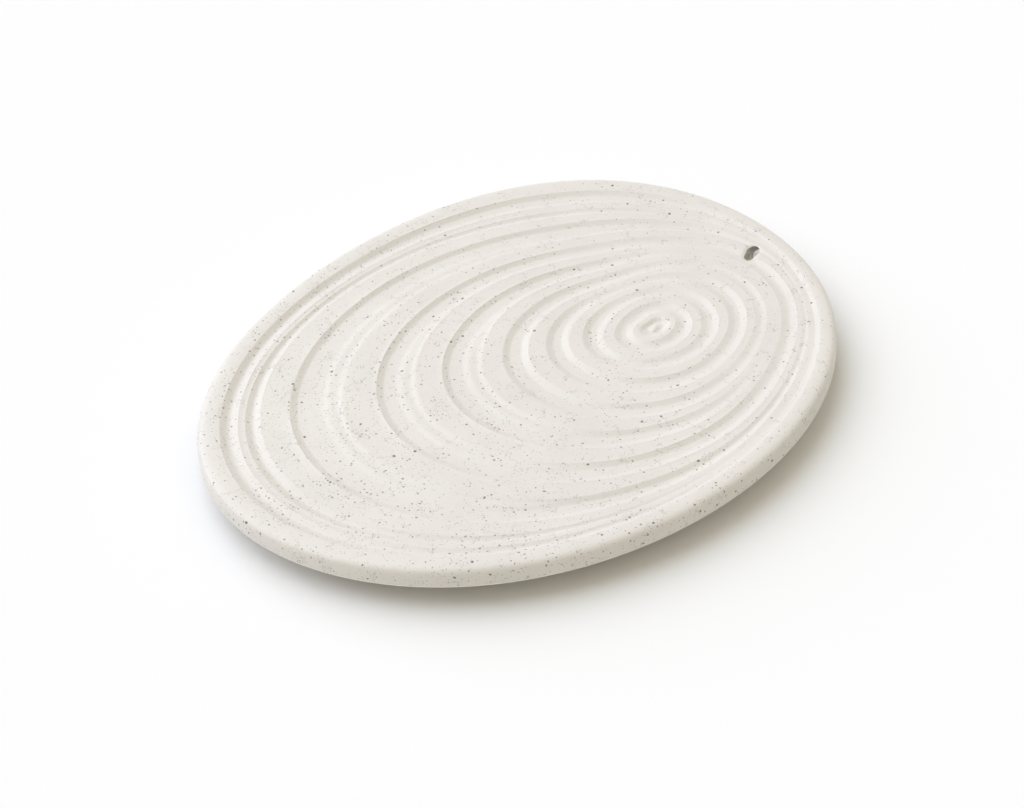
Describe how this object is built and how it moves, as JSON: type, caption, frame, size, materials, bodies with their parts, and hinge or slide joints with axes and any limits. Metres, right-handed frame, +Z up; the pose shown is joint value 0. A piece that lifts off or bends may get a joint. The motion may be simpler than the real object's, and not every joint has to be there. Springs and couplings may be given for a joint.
{
  "type": "incense stick holder",
  "caption": "Oval stoneware plate with off-centre ripples, a rounded rim raised on a set-back foot ring, and a small slanted hole near one end that holds an incense stick over the plate.",
  "frame": {"origin": "middle of the plate's outline, on the table under the pads", "axes": "+X along the plate's length towards the end with the stick hole, +Y across the plate, +Z up"},
  "size_m": [0.16, 0.1224, 0.0098],
  "materials": {
    "speckled_glaze": "satin off-white glaze with fine iron speckles",
    "pad": "matt translucent grey silicone"
  },
  "bodies": {
    "root": {"plate": "speckled_glaze", "pad_back_right": "pad", "pad_back_left": "pad", "pad_front_left": "pad", "pad_front_right": "pad"}
  },
  "joints": []
}
